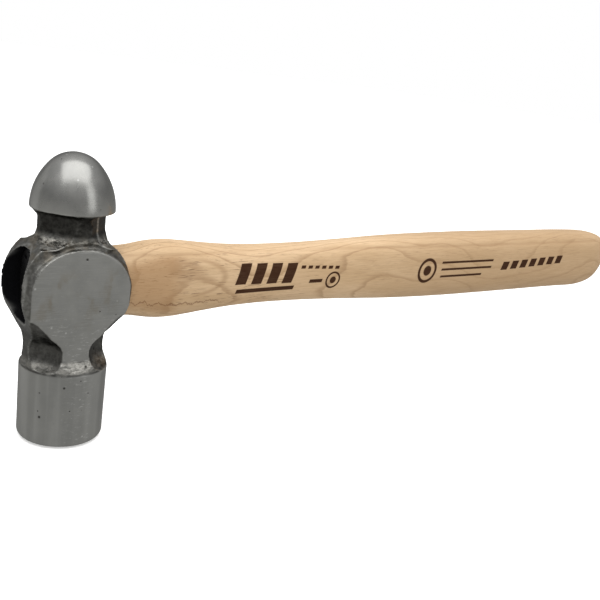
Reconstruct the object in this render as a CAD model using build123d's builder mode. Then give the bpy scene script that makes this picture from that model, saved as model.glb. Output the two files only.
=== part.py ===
"""Ball peen hammer of 450 g head weight on a hickory handle, in millimetres.

The origin is the centre of the striking face. +Z runs up the head to the ball peen, and +X runs
along the handle to its butt. The head is forged and ground, and the handle's tongue is locked in
its eye by one wooden wedge along the eye and two steel wedges across it.
"""

from build123d import *
from math import atan2, cos, degrees, pi, radians, sin
import os

# Head: heights above the striking face
HEAD_LENGTH = 107.5
EYE_HEIGHT = 59.5
SHOULDER_HEIGHT = 29.0
SHOULDER_TOP = 33.0
LOWER_NECK_TOP = 41.0
CHEEK_TOP = 74.4
UPPER_NECK_BOTTOM = 79.2
UPPER_NECK_TOP = 83.2
RIM_HEIGHT = 87.3
OVERRUN = 2.0  # how far a part of the head runs on into its neighbour
SKIM = 0.2  # how far a cut passes an edge that it should just meet

# Head: radii and half widths
BARREL_RADIUS = 16.1
FACE_END_RADIUS = 15.8
FACE_ROUND = 2.3
LOWER_NECK_RADIUS = 14.6
LOWER_NECK_SHIFT = -0.8
LOWER_NECK_HALF_WIDTH = 14.2
UPPER_NECK_HALF_WIDTH = 12.4
UPPER_NECK_HALF_THICKNESS = 11.3
BALL_RADIUS = 15.1
BALL_EDGE = 0.6
HOLLOW_LIP = 0.7
BALL_CROWN_RADIUS = 11.8

# Cheeks: a round outline set slightly towards the eye's free end, with an oval flat on each side
CHEEK_RADIUS = 20.6
CHEEK_SHIFT = -0.7
CHEEK_HALF_THICKNESS = 12.7
FLAT_HALF_WIDTH = 18.6
FLAT_HALF_HEIGHT = 15.2
FLAT_SHIFT = 0.3
FLAT_BEVEL = 2.6
FLAT_BACK = 1.0
FLAT_BACK_RISE = 0.8

# Corner hollows, placed this far round from the handle's direction
UPPER_CORNER_ANGLE = 45.0
UPPER_CORNER_HALF = 10.1
UPPER_CORNER_UNDERCUT = 1.2
UPPER_CORNER_FLARE = 1.6
UPPER_CORNER_SPREAD = 5.6
FLUTE_ANGLE = 41.0
FLUTE_CENTRE = 24.5
FLUTE_RADIUS = 13.7
FLUTE_MIDDLE = 36.0
FLUTE_TOP = 54.5
FLUTE_TIP_RADIUS = 0.8
FLUTE_SWELL = ((0.4, 47.4), (0.78, 41.2))  # part of the radius reached at a height
FLUTE_TUCK = (1.4, 4.6)  # inwards and down from the fullest ring

# Eye: half thickness and half height of its oval at the two mouths and at the waist between them
EYE_END_REACH = 22.0
EYE_HANDLE_REACH = 21.0
EYE_END_MOUTH = (10.1, 14.0)
EYE_WAIST = (9.2, 12.7)
EYE_HANDLE_MOUTH = (10.3, 13.35)
EYE_GAP = 0.05

# Handle: (distance from the head's axis, half thickness, half height, drop below the eye's centre)
HANDLE_SECTIONS = (
    (21.0, 10.25, 13.3, 0.0),
    (29.5, 10.9, 14.6, 0.05),
    (38.5, 11.4, 15.3, 0.1),
    (49.0, 11.6, 14.5, 0.1),
    (66.0, 11.2, 12.9, 0.15),
    (86.0, 10.5, 12.35, 0.15),
    (107.0, 10.5, 12.7, 0.15),
    (130.0, 10.9, 13.65, 0.15),
    (158.0, 11.6, 15.05, 0.2),
    (188.0, 12.1, 15.9, 0.25),
    (225.0, 12.4, 16.3, 0.25),
    (275.0, 12.4, 16.3, 0.3),
    (306.0, 12.4, 16.4, 0.5),
)
# Butt: (distance before the handle's end, half thickness, half height, drop)
HANDLE_END = 340.6
BUTT_SECTIONS = (
    (26.0, 12.3, 16.3, 0.6),
    (17.5, 11.9, 15.6, 0.3),
    (11.0, 11.0, 14.2, -0.3),
    (6.5, 9.8, 11.7, -1.5),
    (3.0, 8.0, 8.4, -2.6),
    (0.9, 6.0, 5.5, -3.3),
    (0.0, 3.6, 3.2, -3.4),
)
OVAL_POWER = 2.7
OVAL_POINTS = 28
TONGUE_END = -14.6

# Wedges
WOOD_WEDGE_DEPTH = 24.0
WOOD_WEDGE_THICK = 3.4
WOOD_WEDGE_TIP = 1.0
WOOD_WEDGE_HALF_HEIGHT = 11.6
STEEL_WEDGE_DEPTH = 16.0
STEEL_WEDGE_THICK = 2.4
STEEL_WEDGE_TIP = 0.6
STEEL_WEDGE_WIDTH = 12.0
STEEL_WEDGE_SPREAD = 6.2
STEEL_WEDGE_TURN = 24.0
WEDGE_PROUD = 0.5

CUTTER_REACH = 40.0

# Radius of the ball's side, tangent to the crown and upright at the rim
BALL_CROWN_RISE = HEAD_LENGTH - BALL_CROWN_RADIUS - RIM_HEIGHT
BALL_SIDE_RADIUS = (BALL_RADIUS**2 + BALL_CROWN_RISE**2 - BALL_CROWN_RADIUS**2) / (
    2 * (BALL_RADIUS - BALL_CROWN_RADIUS)
)


def oval_points(half_thickness, half_height):
    """Points round a flat-sided oval, thickness along X and height along Y."""
    points = []
    for step in range(OVAL_POINTS):
        angle = 2 * pi * (step + 0.5) / OVAL_POINTS
        across, along = cos(angle), sin(angle)
        u = abs(across) ** (2 / OVAL_POWER) * (1 if across > 0 else -1)
        v = abs(along) ** (2 / OVAL_POWER) * (1 if along > 0 else -1)
        points.append((u * half_thickness, v * half_height))
    return points


def section_plane(distance, drop=0.0):
    """Plane square to the handle at a distance along it, its origin at the middle of the section."""
    return Plane(origin=(distance, 0, EYE_HEIGHT - drop), x_dir=(0, 1, 0), z_dir=(1, 0, 0))


def radial_plane(angle):
    """Upright plane through the head's axis: its X points outwards at the angle, its Y is +Z."""
    c, s = cos(radians(angle)), sin(radians(angle))
    return Plane(origin=(0, 0, 0), x_dir=(c, s, 0), z_dir=(s, -c, 0))


def wedge_outline(depth, thick, tip):
    """Corners of a tapered wedge, from just outside the tongue's end inwards along X."""
    start = TONGUE_END - WEDGE_PROUD
    end = TONGUE_END + depth
    return ((start, -thick / 2), (start, thick / 2), (end, tip / 2), (end, -tip / 2))


def eye_block(gap):
    """Solid filling the waisted eye, narrower by the gap all round."""
    with BuildPart() as block:
        for distance, (half_thickness, half_height) in (
            (-EYE_END_REACH, EYE_END_MOUTH),
            (0, EYE_WAIST),
            (EYE_HANDLE_REACH, EYE_HANDLE_MOUTH),
        ):
            with BuildSketch(section_plane(distance)):
                with BuildLine():
                    Spline(*oval_points(half_thickness - gap, half_height - gap), periodic=True)
                make_face()
        loft()
    return block.part


# Tongue: the end of the handle inside the eye
with BuildPart() as tongue:
    add(eye_block(EYE_GAP))
    split(bisect_by=Plane(origin=(TONGUE_END, 0, 0), z_dir=(1, 0, 0)), keep=Keep.TOP)

# Wooden wedge, along the eye's long axis
with BuildPart() as wooden_wedge:
    with BuildSketch(Plane.XY.offset(EYE_HEIGHT)):
        with BuildLine():
            Polyline(*wedge_outline(WOOD_WEDGE_DEPTH, WOOD_WEDGE_THICK, WOOD_WEDGE_TIP), close=True)
        make_face()
    extrude(amount=WOOD_WEDGE_HALF_HEIGHT, both=True)

# Steel wedges, driven across the wooden one, each turned a little about the handle's axis
steel_wedges = []
for side in (1, -1):
    with BuildPart() as steel_wedge:
        with BuildSketch(Plane.XZ):
            with BuildLine():
                Polyline(*wedge_outline(STEEL_WEDGE_DEPTH, STEEL_WEDGE_THICK, STEEL_WEDGE_TIP), close=True)
            make_face()
        extrude(amount=STEEL_WEDGE_WIDTH / 2, both=True)
    turned = steel_wedge.part.rotate(Axis.X, side * STEEL_WEDGE_TURN)
    steel_wedges.append(turned.translate((0, 0, EYE_HEIGHT + side * STEEL_WEDGE_SPREAD)))

# Envelope of the cheeks: an oval at each flat, spreading inwards by the bevel
with BuildPart() as envelope:
    for side in (1, -1):
        for inset in (0, FLAT_BEVEL):
            with BuildSketch(Plane.XZ.offset(side * (CHEEK_HALF_THICKNESS - inset))):
                with Locations((FLAT_SHIFT, EYE_HEIGHT)):
                    Ellipse(FLAT_HALF_WIDTH + inset, FLAT_HALF_HEIGHT + inset)
                with Locations((FLAT_SHIFT, (SHOULDER_HEIGHT + EYE_HEIGHT) / 2)):
                    Rectangle(2 * (FLAT_HALF_WIDTH + inset), EYE_HEIGHT - SHOULDER_HEIGHT)
        loft(ruled=True)
    with BuildSketch(Plane.XZ):
        with Locations((0, EYE_HEIGHT)):
            Rectangle(2 * CUTTER_REACH, 2 * CUTTER_REACH)
    extrude(amount=CHEEK_HALF_THICKNESS - FLAT_BEVEL, both=True)

# Cheeks round the eye, tapering into the lower neck, with the upper neck on top
with BuildPart() as cheeks:
    with BuildSketch(Plane.XZ):
        with BuildLine():
            CenterArc((CHEEK_SHIFT, EYE_HEIGHT), CHEEK_RADIUS, 0, 360)
            Line(
                (LOWER_NECK_SHIFT - LOWER_NECK_HALF_WIDTH, LOWER_NECK_TOP),
                (LOWER_NECK_SHIFT + LOWER_NECK_HALF_WIDTH, LOWER_NECK_TOP),
            )
        make_hull()
        with Locations((LOWER_NECK_SHIFT, (SHOULDER_TOP + LOWER_NECK_TOP) / 2)):
            Rectangle(2 * LOWER_NECK_HALF_WIDTH, LOWER_NECK_TOP - SHOULDER_TOP + OVERRUN)
    extrude(amount=CHEEK_HALF_THICKNESS + OVERRUN, both=True)
    add(envelope.part, mode=Mode.INTERSECT)
    with BuildSketch(Plane.XY.offset(CHEEK_TOP)):
        Rectangle(2 * UPPER_NECK_HALF_WIDTH, 2 * UPPER_NECK_HALF_THICKNESS + FLAT_BACK)
    extrude(amount=UPPER_NECK_TOP + OVERRUN - CHEEK_TOP)

# Cutter for a flute: a spindle that closes in to the cheek above and to the barrel below
flute_end = SHOULDER_HEIGHT - SKIM
flute_end_radius = FLUTE_CENTRE - BARREL_RADIUS - SKIM
swell = [(part * FLUTE_RADIUS, height) for part, height in FLUTE_SWELL]
tuck_in, tuck_down = FLUTE_TUCK
with BuildPart() as flute:
    with BuildSketch(Plane.XZ):
        with BuildLine():
            Spline(
                (FLUTE_TIP_RADIUS, FLUTE_TOP),
                *swell,
                (FLUTE_RADIUS, FLUTE_MIDDLE),
                tangents=((0.3, -1), (0, -1)),
            )
            ThreePointArc(
                (FLUTE_RADIUS, FLUTE_MIDDLE),
                (FLUTE_RADIUS - tuck_in, FLUTE_MIDDLE - tuck_down),
                (flute_end_radius, flute_end),
            )
            Polyline(
                (flute_end_radius, flute_end),
                (0, flute_end),
                (0, FLUTE_TOP),
                (FLUTE_TIP_RADIUS, FLUTE_TOP),
            )
        make_face()
    revolve(axis=Axis.Z)

flute_x = FLUTE_CENTRE * cos(radians(FLUTE_ANGLE))
flute_y = FLUTE_CENTRE * sin(radians(FLUTE_ANGLE))
flute_centres = [
    (LOWER_NECK_SHIFT + along * flute_x, across * flute_y) for along in (1, -1) for across in (1, -1)
]

# Head
with BuildPart() as head:
    # Barrel, shoulder and round lower neck
    with BuildSketch(Plane.XZ):
        with BuildLine():
            Polyline(
                (0, 0),
                (FACE_END_RADIUS, 0),
                (BARREL_RADIUS, SHOULDER_HEIGHT),
                (LOWER_NECK_RADIUS, SHOULDER_TOP),
                (LOWER_NECK_RADIUS, LOWER_NECK_TOP + OVERRUN),
                (0, LOWER_NECK_TOP + OVERRUN),
                close=True,
            )
        barrel = make_face()
        face_corner = barrel.vertices().group_by(Axis.Y)[0].sort_by(Axis.X)[-1]
        fillet(face_corner, FACE_ROUND)
    revolve(axis=Axis.Z)

    # Ball peen: two tangent arcs, tighter at the crown, over a conical underside
    crown_height = HEAD_LENGTH - BALL_CROWN_RADIUS
    crown_angle = degrees(atan2(crown_height - RIM_HEIGHT, BALL_SIDE_RADIUS - BALL_RADIUS))
    with BuildSketch(Plane.XZ):
        with BuildLine():
            Polyline(
                (0, HEAD_LENGTH),
                (0, UPPER_NECK_TOP),
                (UPPER_NECK_HALF_THICKNESS, UPPER_NECK_TOP),
                (BALL_RADIUS - BALL_EDGE, RIM_HEIGHT - BALL_EDGE),
                (BALL_RADIUS, RIM_HEIGHT),
            )
            CenterArc((BALL_RADIUS - BALL_SIDE_RADIUS, RIM_HEIGHT), BALL_SIDE_RADIUS, 0, crown_angle)
            CenterArc((0, crown_height), BALL_CROWN_RADIUS, crown_angle, 90 - crown_angle)
        make_face()
    revolve(axis=Axis.Z)

    add(cheeks.part)

    # Front and back: a chamfer from the flat to the barrel, and a hollow between flat and ball
    for side in (1, -1):
        with BuildSketch(Plane.YZ):
            with BuildLine():
                Polyline(
                    (side * (BARREL_RADIUS + HOLLOW_LIP), SHOULDER_HEIGHT - SKIM),
                    (side * CHEEK_HALF_THICKNESS, SHOULDER_TOP),
                    (side * CHEEK_HALF_THICKNESS, CHEEK_TOP),
                    (side * (CHEEK_HALF_THICKNESS - FLAT_BACK), CHEEK_TOP + FLAT_BACK_RISE),
                    (side * UPPER_NECK_HALF_THICKNESS, UPPER_NECK_BOTTOM),
                    (side * UPPER_NECK_HALF_THICKNESS, UPPER_NECK_TOP),
                    (side * (BALL_RADIUS + HOLLOW_LIP), RIM_HEIGHT),
                    (side * CUTTER_REACH, RIM_HEIGHT),
                    (side * CUTTER_REACH, SHOULDER_HEIGHT - SKIM),
                    close=True,
                )
            make_face()
        extrude(amount=CUTTER_REACH, both=True, mode=Mode.SUBTRACT)

    # Corners of the upper neck
    for quarter in (0, 180):
        for turn in (1, -1):
            with BuildSketch(radial_plane(quarter + turn * UPPER_CORNER_ANGLE)):
                with BuildLine():
                    Polyline(
                        (BALL_RADIUS + OVERRUN, RIM_HEIGHT + SKIM),
                        (UPPER_CORNER_HALF + UPPER_CORNER_UNDERCUT, RIM_HEIGHT - BALL_EDGE),
                        (UPPER_CORNER_HALF, UPPER_NECK_TOP + OVERRUN),
                        (UPPER_CORNER_HALF, UPPER_NECK_BOTTOM + BALL_EDGE),
                        (UPPER_CORNER_HALF + UPPER_CORNER_FLARE, UPPER_NECK_BOTTOM - OVERRUN),
                        (UPPER_CORNER_HALF + UPPER_CORNER_SPREAD, CHEEK_TOP + SKIM),
                        (CUTTER_REACH, CHEEK_TOP - OVERRUN),
                        (CUTTER_REACH, RIM_HEIGHT + SKIM),
                        close=True,
                    )
                make_face()
            extrude(amount=CUTTER_REACH, both=True, mode=Mode.SUBTRACT)

    # Flutes: four upright hollows round the lower neck
    with Locations(*flute_centres):
        add(flute.part, mode=Mode.SUBTRACT)

    add(eye_block(0), mode=Mode.SUBTRACT)

# Handle
with BuildPart() as handle:
    butt = [(HANDLE_END - before, *section) for before, *section in BUTT_SECTIONS]
    for distance, half_thickness, half_height, drop in (*HANDLE_SECTIONS, *butt):
        with BuildSketch(section_plane(distance, drop)):
            with BuildLine():
                Spline(*oval_points(half_thickness, half_height), periodic=True)
            make_face()
    loft()

    add(tongue.part)
    add(wooden_wedge.part, mode=Mode.SUBTRACT)
    for steel_wedge in steel_wedges:
        add(steel_wedge, mode=Mode.SUBTRACT)

with BuildPart() as slotted_wedge:
    add(wooden_wedge.part)
    for steel_wedge in steel_wedges:
        add(steel_wedge, mode=Mode.SUBTRACT)

pieces = {
    "head": head.part,
    "handle": handle.part,
    "wooden_wedge": slotted_wedge.part,
    "steel_wedge_upper": steel_wedges[0],
    "steel_wedge_lower": steel_wedges[1],
}
os.makedirs("parts", exist_ok=True)
for name, piece in pieces.items():
    piece.label = name
    export_step(piece, f"parts/{name}.step")
    print(name, round(piece.volume), "mm3")
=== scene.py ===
import math

import bmesh
import bpy
import numpy as np
from mathutils import Matrix, Vector, noise


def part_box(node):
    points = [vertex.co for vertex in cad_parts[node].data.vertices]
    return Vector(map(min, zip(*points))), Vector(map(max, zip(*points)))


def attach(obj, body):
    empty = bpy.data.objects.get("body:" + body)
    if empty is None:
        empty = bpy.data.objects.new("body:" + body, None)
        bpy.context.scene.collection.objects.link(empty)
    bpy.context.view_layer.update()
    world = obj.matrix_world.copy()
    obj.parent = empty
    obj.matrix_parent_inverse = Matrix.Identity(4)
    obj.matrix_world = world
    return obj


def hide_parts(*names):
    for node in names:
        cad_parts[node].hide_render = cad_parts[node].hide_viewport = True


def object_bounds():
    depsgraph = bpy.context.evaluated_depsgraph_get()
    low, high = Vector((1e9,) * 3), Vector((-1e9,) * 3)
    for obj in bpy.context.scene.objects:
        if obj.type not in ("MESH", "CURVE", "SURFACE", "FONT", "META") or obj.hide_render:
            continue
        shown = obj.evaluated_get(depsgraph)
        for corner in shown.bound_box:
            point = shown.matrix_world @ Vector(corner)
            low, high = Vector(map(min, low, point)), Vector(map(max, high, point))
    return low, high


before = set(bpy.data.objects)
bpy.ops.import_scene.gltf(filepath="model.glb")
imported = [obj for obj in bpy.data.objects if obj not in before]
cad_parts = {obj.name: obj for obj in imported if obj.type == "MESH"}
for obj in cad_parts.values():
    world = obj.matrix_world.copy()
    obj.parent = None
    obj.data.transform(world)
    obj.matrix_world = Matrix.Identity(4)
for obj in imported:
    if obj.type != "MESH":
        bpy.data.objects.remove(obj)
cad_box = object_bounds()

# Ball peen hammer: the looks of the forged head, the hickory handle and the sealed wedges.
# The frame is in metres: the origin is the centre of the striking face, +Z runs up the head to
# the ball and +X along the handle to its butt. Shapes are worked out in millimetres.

MM = 0.001

# Levels, radii and places on the head that the looks depend on, in millimetres
SHOULDER = 29.0
FLUTE_LIP = 30.4
CHAMFER_END = 34.0
NECK_FOOT = 76.8
RIM = 86.6
BARREL_RADIUS = 15.9
BALL_LOW_RADIUS = 14.6
FLAT_HALF_WIDTH = 18.6
FLAT_HALF_HEIGHT = 15.2
FLAT_SHIFT = 0.3
FLAT_FACE = 12.2
EYE_MOUTH = (10.1, 14.0)
PAINTED_EYE = (10.6, 14.5)
CORNER_LINE = 6.4
CORNER_SPREAD = 3.0

# How finely the CAD solids are rebuilt
HEAD_VOXEL = 0.42
HANDLE_VOXEL = 0.85

# Places along the handle, and the height of its crease above the eye's centre
CREASE_LEVEL = 11.4
CREASE_HALF_WIDTH = 1.3
CREASE_FADE = (22.6, 8.6)
PATCH_END = (36.0, 42.0)
TEAR_END = (56.0, 66.0)
RING_SPACING = 2.2
PITH_DEPTH = 15.0
RUST_LEVEL = 74.0

# Colours, linear red, green and blue
GROUND_DARK, GROUND_LIGHT = (0.285, 0.285, 0.272), (0.345, 0.343, 0.325)
LINE_DARK, LINE_LIGHT = (0.270, 0.270, 0.258), (0.355, 0.355, 0.340)
# Painted reflection bands along the barrel
REFLECTION_BAND_DARK, REFLECTION_BAND_LIGHT = (0.275, 0.275, 0.265), (0.43, 0.43, 0.415)
STAIN = (0.240, 0.205, 0.150)
SCRATCH = (0.55, 0.55, 0.53)
SKIN_DARK, SKIN_LIGHT = (0.120, 0.118, 0.108), (0.215, 0.212, 0.198)
# Painted shade for the hollows under the ball and in the flutes
SHADE_DARK, SHADE_LIGHT = (0.024, 0.023, 0.021), (0.066, 0.064, 0.058)
LUMP_DARK, LUMP_LIGHT = (0.050, 0.048, 0.041), (0.50, 0.48, 0.43)
CHAMFER_DARK, CHAMFER_LIGHT = (0.10, 0.10, 0.09), (0.36, 0.35, 0.32)
RUST = (0.185, 0.152, 0.105)
# Worn edges, and painted highlight lines on the neck's corner and the eye's rim
WORN_EDGE_AND_HIGHLIGHT = (0.52, 0.52, 0.49)
# Painted shade in the creases and in the shoulder groove
SHADE_IN_CREASES = (0.020, 0.019, 0.017)
NICK = (0.62, 0.62, 0.60)
PIT = (0.030, 0.028, 0.024)
PAINT_DARK, PAINT_LIGHT = (0.0015, 0.0015, 0.002), (0.004, 0.004, 0.005)
WOOD_DARK, WOOD_LIGHT = (0.500, 0.340, 0.190), (0.610, 0.435, 0.265)
LATE_WOOD = (0.285, 0.165, 0.080)
# Wood colour for the handle's darker part towards the butt
DARKER_TOWARDS_BUTT = (0.400, 0.262, 0.140)
FIBRE_WOOD = (0.300, 0.185, 0.090)
PORE = (0.120, 0.062, 0.028)
PLANED_WOOD = (0.400, 0.235, 0.110)
STREAK_WOOD = (0.270, 0.145, 0.060)
OUTLINE_WOOD = (0.280, 0.160, 0.075)
TEAR_WOOD = (0.170, 0.080, 0.032)
# Painted shade along the handle's crease
CREASE_SHADE_WOOD = (0.300, 0.175, 0.085)
BURNT = (0.036, 0.013, 0.006)
SEAL_DARK, SEAL_LIGHT = (0.0015, 0.0015, 0.002), (0.005, 0.005, 0.005)
WEDGE_SEAL = (0.003, 0.003, 0.0035)
THIN_WOOD, THIN_STEEL = (0.10, 0.065, 0.035), (0.12, 0.12, 0.125)
FLOOR_DARK, FLOOR_LIGHT = (0.86, 0.86, 0.85), (0.89, 0.89, 0.88)

# Camera: yaw, downward pitch and roll in degrees, place in millimetres, lens in millimetres
CAMERA_ANGLES = (39.87, 15.73, 8.11)
CAMERA_PLACE = (-122.09, -278.91, 88.19)
LENS = 49.94

# Lights: name, direction from the head, distance and size in metres, power in watts
LIGHTS = (
    ("key", (-0.10, -0.26, 0.96), 0.60, (0.85, 0.52), 2.2),
    ("strip", (0.42, -0.90, 0.36), 0.60, (0.22, 0.42), 0.36),
    ("edge", (-0.60, 0.78, 0.05), 0.80, (0.50, 0.80), 0.3),
)
LIGHTS_AIM = (40, 0)

# Surroundings from straight down at 0 to straight up at 1, as mirrored and as soft fill
MIRRORED = ((0.42, (0.54, 0.54, 0.53)), (0.62, (0.36, 0.36, 0.36)), (0.95, (0.90, 0.90, 0.91)))
SOFT_FILL = ((0.15, (1.0, 0.98, 0.95)), (0.50, (0.40, 0.395, 0.385)), (0.95, (1.75, 1.75, 1.75)))

wedge_low, wedge_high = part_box("wooden_wedge")
EYE_HEIGHT = (wedge_low[2] + wedge_high[2]) / 2 / MM
HANDLE_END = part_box("handle")[1][0] / MM
BOX_LOW = np.array(cad_box[0]) / MM
BOX_HIGH = np.array(cad_box[1]) / MM


# ---------------------------------------------------------------- small mathematics


def smooth_step(low, high, value):
    """0 below low, 1 above high and smooth between, for a number or an array."""
    t = np.clip((value - low) / (high - low), 0.0, 1.0)
    return t * t * (3 - 2 * t)


def hump(centre, half, value):
    """1 at the centre, falling smoothly to 0 at half on either side."""
    return 1 - smooth_step(0.0, half, np.abs(value - centre))


def noise_at(points, size, offset):
    """Smooth noise from -1 to 1 with features of a size in millimetres, one value per point."""
    shift = Vector(offset)
    return np.array([noise.noise(Vector(p) / size + shift) for p in points])


# ---------------------------------------------------------------- meshes


def remeshed_copy(node, name, voxel):
    """New object whose mesh is the CAD node's, rebuilt as an even fine grid of faces."""
    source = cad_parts[node]
    mesh = source.data.copy()
    welded = bmesh.new()
    welded.from_mesh(mesh)
    bmesh.ops.remove_doubles(welded, verts=welded.verts, dist=1e-6)
    welded.to_mesh(mesh)
    welded.free()
    piece = bpy.data.objects.new(name, mesh)
    bpy.context.scene.collection.objects.link(piece)
    remesh = piece.modifiers.new("remesh", "REMESH")
    remesh.mode = "VOXEL"
    remesh.voxel_size = voxel * MM
    graph = bpy.context.evaluated_depsgraph_get()
    fine = bpy.data.meshes.new_from_object(piece.evaluated_get(graph))
    piece.modifiers.clear()
    piece.data = fine
    fine.materials.clear()
    fine.polygons.foreach_set("use_smooth", [True] * len(fine.polygons))
    return piece


class Surface:
    """A mesh's points, normals and edges as arrays in millimetres."""

    def __init__(self, mesh):
        self.mesh = mesh
        count = len(mesh.vertices)
        points = np.empty(count * 3)
        mesh.vertices.foreach_get("co", points)
        self.points = points.reshape(-1, 3) / MM
        edges = np.empty(len(mesh.edges) * 2, dtype=np.int64)
        mesh.edges.foreach_get("vertices", edges)
        self.edges = edges.reshape(-1, 2)
        self.degree = np.bincount(self.edges.ravel(), minlength=count).astype(float)
        self.read_normals()

    def read_normals(self):
        normals = np.empty(len(self.points) * 3)
        self.mesh.vertices.foreach_get("normal", normals)
        self.normals = normals.reshape(-1, 3)

    def neighbour_mean(self, values):
        """Mean of each point's neighbours, for one value or a row of values per point."""
        a, b = self.edges[:, 0], self.edges[:, 1]
        total = np.zeros_like(values, dtype=float)
        np.add.at(total, a, values[b])
        np.add.at(total, b, values[a])
        degree = self.degree if values.ndim == 1 else self.degree[:, None]
        return total / np.maximum(degree, 1)

    def soften(self, values, times):
        for _ in range(times):
            values = 0.5 * values + 0.5 * self.neighbour_mean(values)
        return values

    def relax(self, times):
        """Even out the steps that the remesh leaves, without shrinking."""
        for _ in range(times):
            for weight in (0.5, -0.52):
                self.points += weight * (self.neighbour_mean(self.points) - self.points)
        self.write()

    def convexity(self, reach):
        """Positive on outward edges and negative in hollows, in millimetres."""
        mean = self.points
        for _ in range(reach):
            mean = self.neighbour_mean(mean)
        return np.einsum("ij,ij->i", self.points - mean, self.normals)

    def sink(self, depth):
        """Move the surface inwards by a depth in millimetres, and never out of the CAD box."""
        self.points = self.points - self.normals * depth[:, None]
        self.write()

    def write(self):
        inside = np.clip(self.points, BOX_LOW, BOX_HIGH)
        self.points = inside
        self.mesh.vertices.foreach_set("co", (inside * MM).ravel())
        self.mesh.update()
        self.read_normals()

    def store(self, name, values):
        """Keep a mask from 0 to 1 on the mesh for the material."""
        layer = self.mesh.attributes.new(name, "FLOAT", "POINT")
        layer.data.foreach_set("value", np.clip(values, 0, 1).astype(np.float32))


# ---------------------------------------------------------------- head


def flat_distance(points):
    """1 on the rim of the oval flat, less inside it and more outside."""
    across = (points[:, 0] - FLAT_SHIFT) / FLAT_HALF_WIDTH
    along = (points[:, 2] - EYE_HEIGHT) / FLAT_HALF_HEIGHT
    return np.hypot(across, along)


def on_flat_face(y):
    """1 on the two planes of the flats."""
    return smooth_step(FLAT_FACE, FLAT_FACE + 0.3, np.abs(y))


def head_zones(surface):
    """Masks of the ground faces, the chamfer, the painted eye, the forged rest and the painted shade in
    its hollows.
    """
    _, y, z = surface.points.T
    _, ny, nz = surface.normals.T
    ball = smooth_step(RIM - 0.2, RIM + 0.4, z) * smooth_step(-0.45, -0.15, nz)
    barrel = 1 - smooth_step(SHOULDER - 0.9, SHOULDER - 0.1, z)
    flat = smooth_step(0.90, 0.975, np.abs(ny)) * on_flat_face(y)
    slope = smooth_step(0.45, 0.6, np.abs(ny)) * smooth_step(0.2, 0.35, nz)
    chamfer = slope * smooth_step(12.4, 12.9, np.abs(y))
    chamfer = chamfer * (1 - smooth_step(CHAMFER_END, CHAMFER_END + 0.6, z))
    chamfer = chamfer * smooth_step(SHOULDER - 0.8, SHOULDER - 0.3, z)
    half_y, half_z = PAINTED_EYE
    past_mouth = (np.hypot(y / half_y, (z - EYE_HEIGHT) / half_z) - 1) * half_z
    in_eye = 1 - smooth_step(0.0, 0.9, past_mouth)
    facing_in = smooth_step(-0.1, 0.3, -(y * ny / 10 + (z - EYE_HEIGHT) * nz / 14))
    paint = in_eye * facing_in
    ground = np.maximum(np.maximum(ball, barrel), np.maximum(flat, chamfer))
    forged = (1 - ground) * (1 - paint)
    # Scale is left rough at the foot of the upper neck and on the lips of the flutes
    rough = forged * np.maximum(hump(NECK_FOOT, 2.0, z), 0.35 * hump(FLUTE_LIP, 2.0, z))
    # Painted shade in the hollows: the upper neck under the ball, and the flutes
    neck = smooth_step(NECK_FOOT + 0.7, NECK_FOOT + 2.7, z) * (1 - smooth_step(RIM - 0.3, RIM + 0.5, z))
    flutes = (1 - smooth_step(42, 54, z)) * smooth_step(31, 33, z)
    hollow = forged * np.maximum(neck, 0.62 * flutes)
    return {"forged": forged, "chamfer": chamfer, "paint": paint, "flat": flat,
            "ball": ball, "rough": rough, "hollow": hollow}


def neck_corner_highlight(points):
    """Painted highlight line down the upper neck's front corner, spreading to the right at its foot."""
    x, y, z = points.T
    foot = smooth_step(79.0, 73.5, z)
    line = hump(0.0, 1.0, x - (CORNER_LINE + CORNER_SPREAD * foot * foot))
    between = smooth_step(73.0, 75.0, z) * smooth_step(87.5, 86.0, z)
    return line * smooth_step(-4.0, -5.5, y) * between


def burr_line(points):
    """Bright ragged burr on the upper edge of the flats, on the side of the eye's free end."""
    x, y, z = points.T
    line = hump(1.01, 0.030, flat_distance(points)) * smooth_step(11.6, 12.2, np.abs(y))
    ragged = 0.55 + 0.45 * noise_at(points, 1.3, (6, 2, 9))
    upper = smooth_step(EYE_HEIGHT + 3, EYE_HEIGHT + 9, z)
    return line * ragged * smooth_step(8.0, 1.0, x) * upper


def eye_rim_highlight(points):
    """Painted highlight on the thin rim round the eye's free end."""
    x, y, z = points.T
    half_y, half_z = EYE_MOUTH
    ring = np.hypot(y / half_y, (z - EYE_HEIGHT) / half_z)
    ragged = 0.6 + 0.3 * noise_at(points, 2.0, (2, 7, 4))
    return hump(1.05, 0.055, ring) * ragged * smooth_step(-13.5, -15.0, x)


def shoulder_shade_line(points):
    """Broken painted shade line in the groove where the barrel ends under the chamfers and the flutes.
    """
    z = points[:, 2]
    broken = smooth_step(-0.35, 0.15, noise_at(points, 2.6, (9, 4, 2)))
    return 0.9 * hump(SHOULDER - 0.1, 0.5, z) * broken


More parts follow.
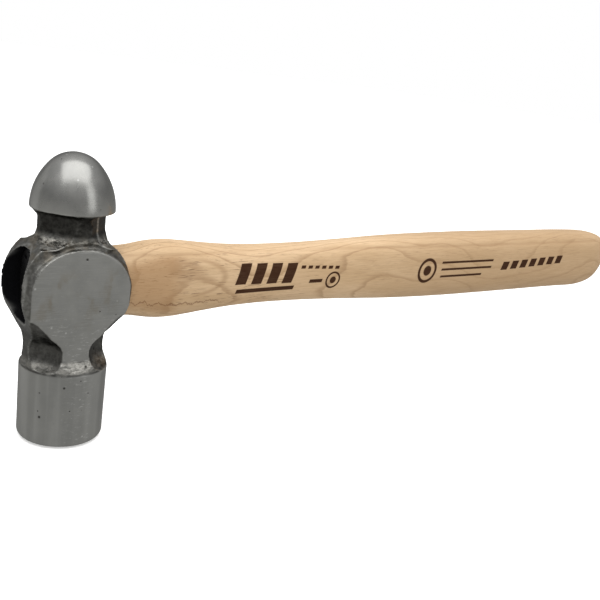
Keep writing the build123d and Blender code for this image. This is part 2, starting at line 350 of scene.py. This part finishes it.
def head_depth(surface, zones):
    """How far the forged scale, steps and dents lie below the CAD surface."""
    points = surface.points
    x, y, z = points.T
    ring = flat_distance(points)
    broad = 0.5 + 0.5 * noise_at(points, 5.0, (3, 1, 7))
    lumps = 1 - np.abs(noise_at(points, 1.9, (11, 5, 2)))
    fine = 0.5 + 0.5 * noise_at(points, 0.9, (4, 9, 8))
    forged = zones["forged"]
    depth = forged * (0.12 * broad + 0.07 * lumps + 0.02 * fine)

    # Rough band round the foot of the upper neck, and along the lip of each flute
    depth += zones["rough"] * (0.45 * (1 - lumps) + 0.16 * fine)

    # Hollow step between the flat's rim and that band
    outside = hump(1.085, 0.075, ring) * smooth_step(9.8, 10.8, np.abs(y))
    upper = smooth_step(EYE_HEIGHT, EYE_HEIGHT + 6, z)
    depth += outside * upper * forged * (0.35 + 0.3 * broad)

    # Burr thrown up along the flat's rim by grinding
    burr = hump(1.0, 0.02, ring) * on_flat_face(y) * upper
    burr = burr * (1 - smooth_step(-3.0, 7.0, x))
    depth -= burr * (0.06 + 0.22 * fine * broad)

    # Groove left by the die under the chamfer and the flutes
    depth += 0.32 * hump(SHOULDER - 0.1, 0.55, z) * (0.4 + 0.6 * broad)

    # Slight waviness of the hand-ground faces, a rough chamfer, and dents
    depth += (1 - forged) * 0.03 * broad + zones["chamfer"] * 0.14 * (lumps + fine)
    for centre, radius, deep in dents():
        gap = np.linalg.norm(points - np.array(centre), axis=1)
        depth += deep * (1 - smooth_step(0.0, radius, gap))
    return depth


def dents():
    """Shallow dents round the barrel and low on the ball: centre, radius and depth of each."""
    found = []
    generator = np.random.default_rng(11)
    for count, reach, levels, radii, depths in (
        (26, BARREL_RADIUS, (4, SHOULDER - 2), (0.6, 1.3), (0.06, 0.16)),
        (12, BALL_LOW_RADIUS, (89, 98), (0.5, 1.0), (0.05, 0.12)),
    ):
        for _ in range(count):
            turn = generator.uniform(0, 2 * math.pi)
            level = generator.uniform(*levels)
            centre = (reach * math.cos(turn), reach * math.sin(turn), level)
            found.append((centre, generator.uniform(*radii), generator.uniform(*depths)))
    return found


def make_head():
    head = remeshed_copy("head", "head_forging", HEAD_VOXEL)
    surface = Surface(head.data)
    surface.relax(5)
    zones = head_zones(surface)
    for name in zones:
        zones[name] = surface.soften(zones[name], 1)
    surface.sink(head_depth(surface, zones))
    bend = surface.convexity(3)
    zones["edge"] = surface.soften(smooth_step(0.04, 0.17, bend), 1)
    # Painted highlight lines on the neck's corner and the eye's rim join the worn edges
    for line in (neck_corner_highlight, burr_line, eye_rim_highlight):
        zones["edge"] = np.maximum(zones["edge"], line(surface.points))
    # Painted shade: darker in concave creases and along the shoulder groove
    zones["cavity_shade"] = surface.soften(smooth_step(0.03, 0.20, -bend), 2)
    zones["cavity_shade"] = np.maximum(zones["cavity_shade"], shoulder_shade_line(surface.points))
    for name, values in zones.items():
        surface.store(name, values)
    head.data.materials.append(steel_material())
    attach(head, "root")
    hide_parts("head")
    return head


# ---------------------------------------------------------------- handle


def make_handle():
    handle = remeshed_copy("handle", "handle_hickory", HANDLE_VOXEL)
    surface = Surface(handle.data)
    surface.relax(3)
    points = surface.points
    x, y, z = points.T
    grown = smooth_step(22, 26, x)
    # Drawknife facets by the head, and the slight waves of a sanded handle
    waves = 0.5 + 0.5 * noise_at(points * np.array((0.25, 1, 1)), 6.0, (2, 2, 5))
    facet = (1 - smooth_step(44, 62, x)) * smooth_step(8, 10, np.abs(y))
    start, end = (HANDLE_END - back for back in CREASE_FADE)
    on_side = smooth_step(4.0, 7.0, np.abs(y)) * smooth_step(end, start, x)
    crease = hump(CREASE_LEVEL, CREASE_HALF_WIDTH, z - EYE_HEIGHT) * on_side
    depth = grown * (0.06 * waves + 0.10 * facet * waves + 0.16 * crease)
    surface.sink(depth)
    surface.store("end_seal", 1 - smooth_step(-13.5, -12.5, points[:, 0]))
    handle.data.materials.append(hickory_material())
    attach(handle, "root")
    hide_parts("handle")
    return handle


# ---------------------------------------------------------------- material building blocks


class Nodes:
    """Short calls that add shader nodes to one material."""

    def __init__(self, name):
        self.material = bpy.data.materials.new(name)
        self.material.use_nodes = True
        self.tree = self.material.node_tree
        self.shader = self.tree.nodes["Principled BSDF"]
        self.object = self.tree.nodes.new("ShaderNodeTexCoord").outputs["Object"]

    def link(self, value, socket):
        if isinstance(value, bpy.types.NodeSocket):
            self.tree.links.new(value, socket)
        else:
            socket.default_value = value

    def mask(self, name):
        """A mask that is stored on the mesh."""
        node = self.tree.nodes.new("ShaderNodeAttribute")
        node.attribute_name = name
        return node.outputs["Fac"]

    def math(self, operation, a, b=0.0, c=0.0, clamp=False):
        node = self.tree.nodes.new("ShaderNodeMath")
        node.operation = operation
        node.use_clamp = clamp
        for value, socket in zip((a, b, c), node.inputs):
            self.link(value, socket)
        return node.outputs[0]

    def product(self, *values):
        total = values[0]
        for value in values[1:]:
            total = self.math("MULTIPLY", total, value)
        return total

    def distance(self, a, b):
        return self.math("ABSOLUTE", self.math("SUBTRACT", a, b))

    def length(self, a, b):
        return self.math("SQRT", self.math("ADD", self.math("POWER", a, 2), self.math("POWER", b, 2)))

    def place(self, per_axis, turn=(0, 0, 0), shift=(0, 0, 0), source=None):
        """Object coordinates turned, shifted and then scaled by features per millimetre."""
        node = self.tree.nodes.new("ShaderNodeMapping")
        self.link(source or self.object, node.inputs["Vector"])
        node.inputs["Location"].default_value = shift
        node.inputs["Rotation"].default_value = turn
        node.inputs["Scale"].default_value = tuple(s / MM for s in per_axis)
        return node.outputs[0]

    def noise(self, where, detail=3.0, rough=0.5, distort=0.0):
        node = self.tree.nodes.new("ShaderNodeTexNoise")
        self.link(where, node.inputs["Vector"])
        node.inputs["Scale"].default_value = 1.0
        node.inputs["Detail"].default_value = detail
        node.inputs["Roughness"].default_value = rough
        node.inputs["Distortion"].default_value = distort
        return node.outputs["Fac"]

    def ramp(self, value, low, high, to_low=0.0, to_high=1.0):
        """Smooth change from to_low at low to to_high at high."""
        node = self.tree.nodes.new("ShaderNodeMapRange")
        node.interpolation_type = "SMOOTHSTEP"
        for number, socket in zip((value, low, high, to_low, to_high), node.inputs):
            self.link(number, socket)
        return node.outputs["Result"]

    def mix(self, amount, a, b, blend="MIX"):
        node = self.tree.nodes.new("ShaderNodeMix")
        node.data_type = "RGBA"
        node.blend_type = blend
        self.link(amount, node.inputs[0])
        for value, socket in ((a, node.inputs[6]), (b, node.inputs[7])):
            if isinstance(value, tuple):
                value = (*value, 1.0)
            self.link(value, socket)
        return node.outputs[2]

    def blend(self, amount, a, b):
        """Number between a and b."""
        node = self.tree.nodes.new("ShaderNodeMix")
        node.data_type = "FLOAT"
        for value, place in ((amount, 0), (a, 2), (b, 3)):
            self.link(value, node.inputs[place])
        return node.outputs[0]

    def pits(self, per_mm, radius, share, seed):
        """Scattered round pits: their size in cells, and the share of cells that has one."""
        node = self.tree.nodes.new("ShaderNodeTexVoronoi")
        self.link(self.place((per_mm,) * 3, shift=(seed, seed, seed)), node.inputs["Vector"])
        node.inputs["Scale"].default_value = 1.0
        spot = self.ramp(node.outputs["Distance"], radius * 0.45, radius, 1.0, 0.0)
        pick = self.tree.nodes.new("ShaderNodeSeparateColor")
        self.link(node.outputs["Color"], pick.inputs[0])
        chosen = self.math("LESS_THAN", pick.outputs[0], share)
        return self.math("MULTIPLY", spot, chosen)

    def bump(self, height, strength, distance, normal=None):
        node = self.tree.nodes.new("ShaderNodeBump")
        self.link(height, node.inputs["Height"])
        node.inputs["Strength"].default_value = strength
        node.inputs["Distance"].default_value = distance * MM
        if normal:
            self.link(normal, node.inputs["Normal"])
        return node.outputs[0]

    def axes(self):
        node = self.tree.nodes.new("ShaderNodeSeparateXYZ")
        self.link(self.place((1, 1, 1)), node.inputs[0])
        return node.outputs[0], node.outputs[1], node.outputs[2]


def steel_textures(n):
    """Masks stored on the head and the patterns that several parts of its material share."""
    t = {name: n.mask(name) for name in (
        "forged", "paint", "flat", "chamfer", "edge", "cavity_shade", "ball", "rough", "hollow"
    )}
    t["z"] = n.axes()[2]
    t["cloud"] = n.noise(n.place((0.11, 0.11, 0.11)), detail=5, rough=0.6)
    grinding = n.place((0.10, 1.5, 3.2), turn=(0, math.radians(4), 0))
    t["lines"] = n.noise(grinding, detail=4, rough=0.7)
    t["grain"] = n.noise(n.place((0.55, 0.55, 0.55)), detail=6, rough=0.65)
    t["speck"] = n.noise(n.place((0.40, 0.40, 1.0), shift=(7, 7, 1)), detail=5, rough=0.75)
    t["pits"] = n.math("MAXIMUM", n.pits(0.15, 0.10, 0.55, 3.0), n.pits(0.30, 0.10, 0.22, 8.0))
    return t


def ground_colour(n, t):
    """Cloudy grey, a brown stain and fine lines on the flats, and faint painted reflection bands along
    the barrel.
    """
    ground = n.mix(n.ramp(t["cloud"], 0.3, 0.7), GROUND_DARK, GROUND_LIGHT)
    stain_place = n.noise(n.place((0.16, 0.16, 0.10), shift=(4, 2, 9)), detail=4)
    stain_area = n.ramp(n.distance(t["z"], EYE_HEIGHT - 3), 3, 14, 1, 0)
    stain = n.product(n.ramp(stain_place, 0.50, 0.68), stain_area, t["flat"], 0.75)
    ground = n.mix(stain, ground, STAIN)

    line_colour = n.mix(n.ramp(t["lines"], 0.38, 0.64), LINE_DARK, LINE_LIGHT)
    patchy = n.noise(n.place((0.10, 0.10, 0.10), shift=(2, 2, 6)), detail=2)
    line_area = n.ramp(patchy, 0.40, 0.60, 0.10, 0.60)
    ground = n.mix(n.product(t["flat"], line_area), ground, line_colour)

    # Painted reflection: soft light and dark bands running along the barrel
    band_noise = n.noise(n.place((0.16, 0.16, 0.006)), detail=3, rough=0.6)
    reflection_bands = n.mix(n.ramp(band_noise, 0.38, 0.62), REFLECTION_BAND_DARK, REFLECTION_BAND_LIGHT)
    band_area = n.product(n.ramp(t["z"], SHOULDER, SHOULDER + 0.5, 1, 0), 0.38)
    ground = n.mix(band_area, ground, reflection_bands)

    slanted = n.place((0.35, 0.9, 1.6), turn=(0, math.radians(-28), 0), shift=(6, 1, 4))
    scratches = n.ramp(n.noise(slanted, detail=5, rough=0.8), 0.57, 0.65)
    low_area = n.ramp(t["z"], EYE_HEIGHT - 16, EYE_HEIGHT - 5, 0.75, 0.15)
    return n.mix(n.product(scratches, low_area, t["flat"]), ground, SCRATCH)


def forged_colour(n, t):
    """Dark skin with painted shade in the hollows, rough bright lumps in bands and a little rust."""
    skin = n.mix(n.ramp(t["grain"], 0.35, 0.68), SKIN_DARK, SKIN_LIGHT)
    painted_shade = n.mix(n.ramp(t["grain"], 0.35, 0.72), SHADE_DARK, SHADE_LIGHT)
    # Painted shade: the skin is darkened in the hollows
    skin = n.mix(t["hollow"], skin, painted_shade)
    lump = n.mix(n.ramp(t["speck"], 0.42, 0.60), LUMP_DARK, LUMP_LIGHT)
    skin = n.mix(n.product(t["rough"], 0.8), skin, lump)
    rust = n.ramp(n.noise(n.place((0.25, 0.25, 0.25), shift=(5, 3, 8)), detail=3), 0.42, 0.60)
    rust_area = n.ramp(n.distance(t["z"], RUST_LEVEL), 1.0, 6.0, 0.42, 0.0)
    return n.mix(n.product(rust, rust_area), skin, RUST)


def worn_colour(n, t, colour):
    """Worn edges where the scale is off together with painted highlight lines, painted shade in the
    creases, nicks and pits.
    """
    bright = n.mix(n.ramp(t["speck"], 0.36, 0.60), CHAMFER_DARK, CHAMFER_LIGHT)
    colour = n.mix(n.product(t["chamfer"], 0.85), colour, bright)
    # Worn edges and painted highlight lines lighten the colour
    worn_and_highlight = n.product(t["edge"], n.ramp(t["speck"], 0.35, 0.60, 0.15, 0.85))
    colour = n.mix(worn_and_highlight, colour, WORN_EDGE_AND_HIGHLIGHT)
    # Painted shade darkens the creases
    colour = n.mix(n.product(t["cavity_shade"], 0.8), colour, SHADE_IN_CREASES)
    bare = n.math("SUBTRACT", 1.0, t["forged"])
    nicks = n.product(n.pits(0.17, 0.09, 0.45, 5.0), bare, 0.6)
    colour = n.mix(nicks, colour, NICK)
    return n.mix(n.product(t["pits"], 0.85), colour, PIT)


def steel_roughness(n, t):
    ground = n.ramp(t["cloud"], 0.3, 0.7, 0.30, 0.40)
    scored = n.product(t["flat"], n.ramp(t["lines"], 0.3, 0.7, 0.0, 0.10))
    ground = n.math("ADD", ground, scored)
    ground = n.blend(t["ball"], ground, n.ramp(t["cloud"], 0.3, 0.7, 0.23, 0.31))
    rough = n.blend(t["forged"], ground, n.ramp(t["grain"], 0.3, 0.7, 0.30, 0.48))
    rough = n.blend(t["chamfer"], rough, 0.48)
    return n.blend(t["paint"], rough, 0.6)


def steel_normal(n, t):
    """Fine scale, lumps, grinding lines, pits and the slight unevenness of handwork."""
    fine = n.product(n.math("ADD", t["grain"], n.product(t["speck"], 0.5)), t["forged"])
    normal = n.bump(fine, 0.45, 0.25)
    lumpy = n.product(t["speck"], n.math("MAXIMUM", t["rough"], t["chamfer"]))
    normal = n.bump(lumpy, 0.6, 0.4, normal)
    normal = n.bump(n.product(t["lines"], t["flat"]), 0.18, 0.05, normal)
    normal = n.bump(n.math("SUBTRACT", 1.0, t["pits"]), 0.8, 0.15, normal)
    uneven = n.noise(n.place((0.30, 0.30, 0.30), shift=(1, 6, 3)), detail=3, rough=0.5)
    return n.bump(uneven, 0.25, 0.10, normal)


def steel_material():
    """Ground and lightly polished steel with forged scale in the hollows and a painted eye."""
    n = Nodes("forged_steel")
    t = steel_textures(n)
    colour = n.mix(t["forged"], ground_colour(n, t), forged_colour(n, t))
    colour = worn_colour(n, t, colour)
    brush = n.noise(n.place((0.8, 0.8, 0.8)), detail=3)
    colour = n.mix(t["paint"], colour, n.mix(brush, PAINT_DARK, PAINT_LIGHT))
    n.link(colour, n.shader.inputs["Base Color"])
    n.link(n.math("SUBTRACT", 1.0, t["paint"]), n.shader.inputs["Metallic"])
    n.shader.inputs["Specular IOR Level"].default_value = 0.15
    n.shader.inputs["Specular Tint"].default_value = (0.60, 0.60, 0.60, 1.0)
    n.link(steel_roughness(n, t), n.shader.inputs["Roughness"])
    n.link(steel_normal(n, t), n.shader.inputs["Normal"])
    return n.material


def bar(n, x, z, centre_x, centre_z, half_x, half_z, slant):
    """Mask of a slanted bar on the side of the handle, sizes in millimetres."""
    level = n.math("SUBTRACT", z, EYE_HEIGHT + centre_z)
    along = n.math("SUBTRACT", n.math("SUBTRACT", x, centre_x), n.product(level, slant))
    in_x = n.ramp(n.math("ABSOLUTE", along), half_x - 0.15, half_x + 0.15, 1, 0)
    in_z = n.ramp(n.math("ABSOLUTE", level), half_z - 0.12, half_z + 0.12, 1, 0)
    return n.product(in_x, in_z)


def ring(n, x, z, centre_x, centre_z, half_x, half_z, line):
    """Mask of a slanted oval ring with a dot in its middle."""
    across = n.math("DIVIDE", n.math("SUBTRACT", x, centre_x), half_x)
    level = n.math("DIVIDE", n.math("SUBTRACT", z, EYE_HEIGHT + centre_z), half_z)
    across = n.math("SUBTRACT", across, n.product(level, 0.12))
    reach = n.length(across, level)
    band = n.ramp(n.distance(reach, 1 - line), line * 0.7, line * 1.3, 1, 0)
    dot = n.ramp(reach, 0.36, 0.46, 1, 0)
    return n.math("MAXIMUM", band, dot)


def burnt_marks(n, x, y, z):
    """Plain bars, rules and rings burnt into the handle's near side."""
    # Each bar: centre along the handle and above the eye's centre, half length, half height, slant
    bars = [(70.5 + 8.1 * step, 2.9 - 0.25 * step, 2.7, 4.3, 0.35) for step in range(4)]
    bars.append((82.5, -4.4, 15.2, 0.9, 0.3))
    # A dashed rule and a short bar beside a small ring
    bars += [(102.0 + 3.8 * step, 4.5 - 0.15 * step, 1.2, 0.7, 0.3) for step in range(6)]
    bars.append((109.5, -2.0, 3.6, 0.8, 0.3))
    # Three thin rules and a row of seven bars beside a larger ring
    for level, half in ((3.7, 19.5), (0.2, 19.0), (-3.4, 15.5)):
        bars.append((188.5 + half, level, half, 0.55, 0.3))
    bars += [(238.0 + 7.9 * step, 0.3 + 0.3 * step, 2.6, 2.2, 0.4) for step in range(7)]
    total = ring(n, x, z, 119.2, -2.0, 4.1, 3.9, 0.11)
    total = n.math("MAXIMUM", total, ring(n, x, z, 178.5, 0.0, 6.3, 6.2, 0.12))
    for sizes in bars:
        total = n.math("MAXIMUM", total, bar(n, x, z, *sizes))
    return n.product(total, n.ramp(y, -7.0, -6.0, 1, 0))


def growth_rings(n, x, y, z):
    """Late wood of rings round a line far behind the near side, wandering so that they arch."""
    wander = n.noise(n.place((0.011, 0.012, 0.012), shift=(3, 5, 1)), detail=1)
    drift = n.noise(n.place((0.035, 0.14, 0.14), shift=(8, 1, 4)), detail=4, rough=0.55)
    off_y = n.math("SUBTRACT", y, PITH_DEPTH)
    rise = n.product(x, -0.012)
    off_z = n.math("ADD", n.math("SUBTRACT", z, EYE_HEIGHT + 2.0), rise)
    reach = n.length(off_y, off_z)
    reach = n.math("ADD", reach, n.product(wander, 15.0))
    reach = n.math("ADD", reach, n.product(drift, 1.5))
    ring_part = n.math("FRACT", n.math("DIVIDE", reach, RING_SPACING))
    return n.product(n.ramp(ring_part, 0.74, 0.94), n.ramp(ring_part, 0.95, 1.0, 1, 0))


def wood_pores(n, x):
    """Short dark pores along the grain, most of them near the head."""
    pores = n.noise(n.place((0.16, 3.4, 3.4), shift=(2, 8, 5)), detail=2, rough=0.5)
    area = n.noise(n.place((0.03, 0.22, 0.22), shift=(9, 3, 3)), detail=2)
    near = n.ramp(x, 60.0, 130.0, 1.0, 0.35)
    return n.product(n.ramp(pores, 0.60, 0.68), n.ramp(area, 0.36, 0.52), near)


def planed_patch(n, wood, x, side):
    """Warmer patch by the head, with short tool streaks where it ends."""
    patch = n.product(n.ramp(x, *PATCH_END, 1, 0), side, 0.45)
    wood = n.mix(patch, wood, PLANED_WOOD)
    edge_shift = n.product(n.noise(n.place((0.02, 1.1, 1.1)), detail=3), 22.0)
    past = n.math("SUBTRACT", n.math("ADD", edge_shift, 32.0), x)
    streak = n.product(n.ramp(past, -1.0, 2.0), n.ramp(x, 32.0, 50.0, 0.8, 0.0))
    return n.mix(n.product(streak, side, 0.42), wood, STREAK_WOOD)


def facet_outline(n, wood, x, z, side):
    """Outline of the last facet, an open U along the side."""
    along = n.math("DIVIDE", n.math("SUBTRACT", x, 44.0), 17.0)
    across = n.math("DIVIDE", n.math("SUBTRACT", z, EYE_HEIGHT + 2.6), 7.2)
    reach = n.length(n.math("MAXIMUM", along, 0.0), across)
    outline = n.ramp(n.distance(reach, 1.0), 0.0, 0.16, 1, 0)
    outline = n.product(outline, side, n.ramp(along, 0.0, 0.5), 0.42)
    return n.mix(outline, wood, OUTLINE_WOOD)


def grain_tear(n, wood, x, level, side):
    """Jagged dark tear in the grain, low on the side."""
    jag = n.noise(n.place((0.10, 0.02, 0.02), shift=(1, 4, 4)), detail=5, rough=0.75)
    tear_level = n.math("ADD", n.product(x, -0.05), n.product(jag, 10.0))
    gap = n.distance(level, n.math("ADD", tear_level, -10.5))
    tear = n.product(n.ramp(gap, 0.10, 0.42, 1, 0), n.ramp(x, *TEAR_END, 1, 0), side)
    return n.mix(n.product(tear, 0.65), wood, TEAR_WOOD)


def crease_shade(n, wood, x, y, level):
    """Painted shade line along the soft crease where the side and the back of the handle meet."""
    start, end = (HANDLE_END - back for back in CREASE_FADE)
    crease = n.ramp(n.distance(level, CREASE_LEVEL), 0.0, 1.1, 1, 0)
    on_side = n.ramp(n.math("ABSOLUTE", y), 4.0, 7.0)
    crease = n.product(crease, on_side, n.ramp(x, start, end, 1, 0))
    # Painted shade line
    return n.mix(n.product(crease, 0.30), wood, CREASE_SHADE_WOOD)


def hickory_material():
    """Pale sanded hickory: growth rings, pores, planed patch by the head and burnt marks."""
    n = Nodes("hickory")
    x, y, z = n.axes()
    side = n.ramp(n.math("ABSOLUTE", y), 8.0, 10.0)
    level = n.math("SUBTRACT", z, EYE_HEIGHT)
    late = growth_rings(n, x, y, z)
    pore = wood_pores(n, x)
    fibre = n.noise(n.place((0.09, 2.6, 2.6)), detail=5, rough=0.65)
    marks = burnt_marks(n, x, y, z)
    burn = n.product(marks, n.ramp(fibre, 0.30, 0.75, 1.0, 0.94))

    tone = n.noise(n.place((0.018, 0.09, 0.09)), detail=4, rough=0.6)
    wood = n.mix(n.ramp(tone, 0.30, 0.70), WOOD_DARK, WOOD_LIGHT)
    wood = n.mix(n.product(late, 0.50), wood, LATE_WOOD)
    # Darker towards the butt
    wood = n.mix(n.ramp(x, 130.0, 200.0, 0.0, 0.55), wood, DARKER_TOWARDS_BUTT)
    wood = n.mix(n.ramp(fibre, 0.35, 0.70, 0.0, 0.30), wood, FIBRE_WOOD)
    wood = n.mix(n.product(pore, 0.75), wood, PORE)
    wood = planed_patch(n, wood, x, side)
    wood = facet_outline(n, wood, x, z, side)
    wood = grain_tear(n, wood, x, level, side)
    wood = crease_shade(n, wood, x, y, level)
    wood = n.mix(burn, wood, BURNT)
    # Black seal on the end inside the eye
    wood = n.mix(n.mask("end_seal"), wood, n.mix(fibre, SEAL_DARK, SEAL_LIGHT))
    n.link(wood, n.shader.inputs["Base Color"])

    n.link(n.blend(burn, 0.25, 0.05), n.shader.inputs["Specular IOR Level"])
    rough = n.ramp(fibre, 0.3, 0.7, 0.46, 0.60)
    n.link(n.blend(burn, rough, 0.75), n.shader.inputs["Roughness"])
    height = n.math("SUBTRACT", n.product(fibre, 0.5), n.product(pore, 0.6))
    height = n.math("SUBTRACT", height, n.product(marks, 0.9))
    height = n.math("SUBTRACT", height, n.product(late, 0.15))
    n.link(n.bump(height, 0.35, 0.14), n.shader.inputs["Normal"])
    return n.material


def sealed_wedge_material(name, thin):
    """Black seal brushed over a wedge, with the bare material showing through where it is thin."""
    n = Nodes(name)
    brush = n.noise(n.place((0.5, 0.9, 0.9), shift=(5, 2, 2)), detail=5, rough=0.65)
    bare = n.ramp(brush, 0.58, 0.78, 0.0, 0.12)
    colour = n.mix(bare, WEDGE_SEAL, thin)
    n.link(colour, n.shader.inputs["Base Color"])
    n.shader.inputs["Specular IOR Level"].default_value = 0.15
    n.link(n.ramp(brush, 0.3, 0.7, 0.42, 0.62), n.shader.inputs["Roughness"])
    n.link(n.bump(brush, 0.5, 0.2), n.shader.inputs["Normal"])
    return n.material


def finish_wedges():
    wood = sealed_wedge_material("wedge_wood", THIN_WOOD)
    steel = sealed_wedge_material("wedge_steel", THIN_STEEL)
    for node, material in (
        ("wooden_wedge", wood),
        ("steel_wedge_upper", steel),
        ("steel_wedge_lower", steel),
    ):
        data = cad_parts[node].data
        data.materials.clear()
        data.materials.append(material)


# ---------------------------------------------------------------- studio


def link_new(name, data):
    item = bpy.data.objects.new(name, data)
    bpy.context.scene.collection.objects.link(item)
    return item


def make_camera():
    """Camera above and in front of the eye's free end, looking along the handle, tilted a little."""
    yaw, pitch, roll = (math.radians(angle) for angle in CAMERA_ANGLES)
    ahead = math.cos(pitch)
    forward = Vector((math.sin(yaw) * ahead, math.cos(yaw) * ahead, -math.sin(pitch)))
    level = Vector((math.cos(yaw), -math.sin(yaw), 0))
    upright = level.cross(forward)
    right = math.cos(roll) * level + math.sin(roll) * upright
    up = -math.sin(roll) * level + math.cos(roll) * upright
    camera = link_new("camera", bpy.data.cameras.new("camera"))
    pose = Matrix((right, up, -forward)).transposed().to_4x4()
    x, y, above_eye = CAMERA_PLACE
    pose.translation = Vector((x, y, EYE_HEIGHT + above_eye)) * MM
    camera.matrix_world = pose
    camera.data.lens = LENS
    camera.data.clip_start = 0.01
    bpy.context.scene.camera = camera


def make_floor():
    """Pale floor that glows a little and that neither steel nor wood picks up."""
    mesh = bpy.data.meshes.new("floor")
    half = 6.0
    corners = [(-half, -half, 0), (half, -half, 0), (half, half, 0), (-half, half, 0)]
    mesh.from_pydata(corners, [], [(0, 1, 2, 3)])
    floor = link_new("floor", mesh)
    floor.location.z = -0.0004
    n = Nodes("pale_floor")
    cloud = n.noise(n.place((0.004, 0.004, 0.004)), detail=2)
    n.link(n.mix(cloud, FLOOR_DARK, FLOOR_LIGHT), n.shader.inputs["Base Color"])
    n.shader.inputs["Roughness"].default_value = 0.8
    n.shader.inputs["Emission Color"].default_value = (1.0, 1.0, 1.0, 1.0)
    n.shader.inputs["Emission Strength"].default_value = 0.34
    mesh.materials.append(n.material)
    floor.visible_glossy = False
    floor.visible_diffuse = False


def make_light(name, direction, distance, size, energy):
    """Soft rectangular light that looks at the head from a direction."""
    light = bpy.data.lights.new(name, "AREA")
    light.shape = "RECTANGLE"
    light.size, light.size_y = size
    light.energy = energy
    item = link_new(name, light)
    aim = Vector((*LIGHTS_AIM, EYE_HEIGHT)) * MM
    way = Vector(direction).normalized()
    item.location = aim + way * distance
    item.rotation_euler = (-way).to_track_quat("-Z", "Y").to_euler()


def gradient(tree, height, stops):
    """Colour that runs through the stops as the height goes from 0 to 1."""
    node = tree.nodes.new("ShaderNodeValToRGB")
    elements = node.color_ramp.elements
    elements[0].position, elements[0].color = stops[0][0], (*stops[0][1], 1)
    elements[1].position, elements[1].color = stops[-1][0], (*stops[-1][1], 1)
    for position, colour in stops[1:-1]:
        elements.new(position).color = (*colour, 1)
    tree.links.new(height, node.inputs[0])
    return node.outputs[0]


def switch(tree, chosen, otherwise, colour):
    """The colour for one kind of ray, and otherwise the colour before."""
    node = tree.nodes.new("ShaderNodeMix")
    node.data_type = "RGBA"
    tree.links.new(chosen, node.inputs[0])
    tree.links.new(otherwise, node.inputs[6])
    if isinstance(colour, tuple):
        node.inputs[7].default_value = colour
    else:
        tree.links.new(colour, node.inputs[7])
    return node.outputs[2]


def make_world():
    """Even white for the camera, a grey studio in reflections and soft fill on dull surfaces."""
    world = bpy.data.worlds.new("studio")
    world.use_nodes = True
    tree = world.node_tree
    coordinates = tree.nodes.new("ShaderNodeTexCoord")
    split = tree.nodes.new("ShaderNodeSeparateXYZ")
    tree.links.new(coordinates.outputs["Generated"], split.inputs[0])
    height = tree.nodes.new("ShaderNodeMath")
    height.operation = "MULTIPLY_ADD"
    height.inputs[1].default_value = 0.5
    height.inputs[2].default_value = 0.5
    tree.links.new(split.outputs[2], height.inputs[0])
    mirrored = gradient(tree, height.outputs[0], MIRRORED)
    soft = gradient(tree, height.outputs[0], SOFT_FILL)
    path = tree.nodes.new("ShaderNodeLightPath")
    light = switch(tree, path.outputs["Is Diffuse Ray"], mirrored, soft)
    light = switch(tree, path.outputs["Is Camera Ray"], light, (1.0, 1.0, 1.0, 1.0))
    tree.links.new(light, tree.nodes["Background"].inputs["Color"])
    tree.nodes["Background"].inputs["Strength"].default_value = 1.0
    bpy.context.scene.world = world


bpy.context.scene.view_settings.view_transform = "Standard"
make_camera()
make_floor()
make_world()
for settings in LIGHTS:
    make_light(*settings)
make_head()
make_handle()
finish_wedges()
